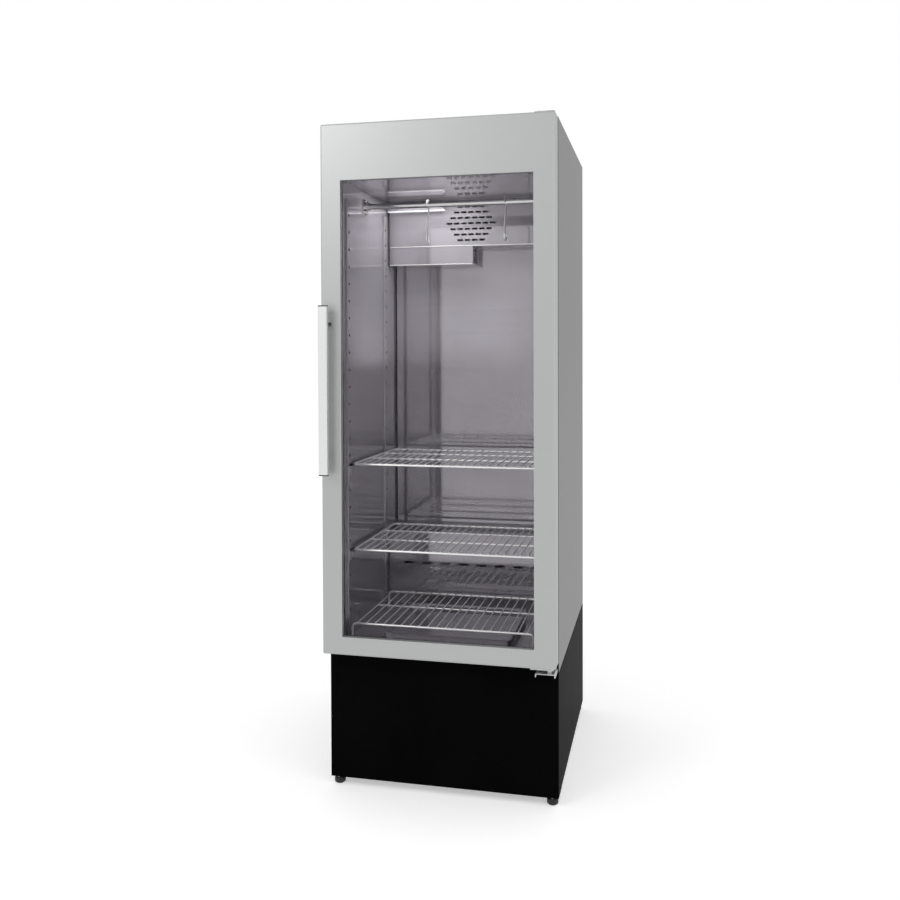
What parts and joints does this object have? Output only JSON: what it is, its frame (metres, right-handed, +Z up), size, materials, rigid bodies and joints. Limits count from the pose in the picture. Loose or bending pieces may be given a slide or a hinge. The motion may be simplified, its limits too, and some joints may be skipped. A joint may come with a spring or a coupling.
{
  "type": "dry aging cabinet",
  "caption": "Upright single-door refrigerated cabinet for ageing and showing meat, with a glazed hinged door, wire shelves, hanging bar and machinery in the base.",
  "frame": {"origin": "on the floor, at the centre of the bounding box", "axes": "+Z up; the door faces -Y; the hinge is on the +X side"},
  "size_m": [0.72, 0.87, 2.06],
  "materials": {
    "door_steel": "fine vertical brushed stainless steel",
    "side_steel": "brushed stainless steel",
    "inner_steel": "smooth, nearly polished stainless steel",
    "bright_wire": "electropolished stainless steel",
    "handle_metal": "satin light metal",
    "zinc": "galvanised sheet",
    "black_paint": "satin black powder coat",
    "black_plastic": "matte black",
    "grey_rubber": "soft dark grey",
    "foam": "closed-cell foam, hidden",
    "clear_glass": "clear",
    "lamp_diffuser": "white, lit",
    "copper": "drawn copper pipe",
    "fin_aluminium": "bare fins"
  },
  "bodies": {
    "cabinet": {"outer_wrap": "side_steel", "rear_panel": "zinc", "bottom_panel": "black_paint", "insulation": "foam", "inner_liner": "inner_steel", "air_duct_panel": "inner_steel", "return_air_box": "inner_steel", "evaporator_cover": "inner_steel", "evaporator_duct": "inner_steel", "evaporator_coil": "fin_aluminium", "evaporator_fan_motor": "black_plastic", "lamp_housing": "inner_steel", "lamp_lens": "lamp_diffuser", "upright_front_left": "inner_steel", "upright_rear_left": "inner_steel", "upright_front_right": "inner_steel", "upright_rear_right": "inner_steel", "runner_upper_left": "inner_steel", "runner_upper_right": "inner_steel", "runner_lower_left": "inner_steel", "runner_lower_right": "inner_steel", "bottom_grate": "bright_wire", "hanging_bar": "bright_wire", "bar_bracket_left": "bright_wire", "bar_bracket_right": "bright_wire", "hinge_bracket_top": "bright_wire", "hinge_bracket_bottom": "bright_wire", "base_front_cover": "black_paint", "base_panel_left": "black_paint", "base_panel_right": "black_paint", "base_rear_grille": "black_paint", "base_floor_plate": "black_paint", "foot_front_left": "black_plastic", "foot_front_right": "black_plastic", "foot_rear_left": "black_plastic", "foot_rear_right": "black_plastic", "compressor": "black_paint", "condenser": "fin_aluminium", "condenser_fan_shroud": "black_plastic", "suction_pipe": "copper", "electrical_box": "black_plastic"},
    "door": {"door_skin": "door_steel", "door_insulation": "foam", "door_liner": "black_plastic", "door_gasket": "grey_rubber", "glass_outer": "clear_glass", "glass_inner": "clear_glass", "glazing_spacer": "black_plastic", "handle_bar": "handle_metal", "handle_cap_top": "black_plastic", "handle_cap_bottom": "black_plastic", "door_hinge_plate": "bright_wire"},
    "upper_shelf": {"upper_shelf": "bright_wire"},
    "lower_shelf": {"lower_shelf": "bright_wire"},
    "drip_tray": {"drip_tray": "bright_wire"},
    "hook_left": {"hook_left": "bright_wire"},
    "hook_right": {"hook_right": "bright_wire"},
    "evaporator_fan": {"evaporator_fan": "black_plastic"},
    "condenser_fan": {"condenser_fan": "black_plastic"},
    "lock_plug": {"lock_plug": "black_plastic"}
  },
  "joints": [
    {"name": "door_hinge", "type": "hinge", "parent": "cabinet", "child": "door", "pos_m": [0.338, -0.373, 0.435], "axis": [0, 0, 1], "range_deg": [0, 105]},
    {"name": "lock_turn", "type": "hinge", "parent": "door", "child": "lock_plug", "pos_m": [-0.331, -0.395, 1.4475], "axis": [0, 1, 0], "range_deg": [0, 90]},
    {"name": "upper_shelf_slide", "type": "slide", "parent": "cabinet", "child": "upper_shelf", "axis": [0, -1, 0], "range_m": [0, 0.045]},
    {"name": "lower_shelf_slide", "type": "slide", "parent": "cabinet", "child": "lower_shelf", "axis": [0, -1, 0], "range_m": [0, 0.045]},
    {"name": "drip_tray_slide", "type": "slide", "parent": "cabinet", "child": "drip_tray", "axis": [0, -1, 0], "range_m": [0, 0.035]},
    {"name": "hook_left_swing", "type": "hinge", "parent": "cabinet", "child": "hook_left", "pos_m": [-0.096, -0.115, 1.8467], "axis": [1, 0, 0], "range_deg": [-45, 45]},
    {"name": "hook_right_swing", "type": "hinge", "parent": "cabinet", "child": "hook_right", "pos_m": [0.163, -0.115, 1.8467], "axis": [1, 0, 0], "range_deg": [-45, 45]},
    {"name": "evaporator_fan_spin", "type": "hinge", "parent": "cabinet", "child": "evaporator_fan", "pos_m": [-0.006, 0.151, 1.8177], "axis": [0, 1, 0], "continuous": true},
    {"name": "condenser_fan_spin", "type": "hinge", "parent": "cabinet", "child": "condenser_fan", "pos_m": [-0.16, 0.2977, 0.1693], "axis": [0, 1, 0], "continuous": true}
  ]
}
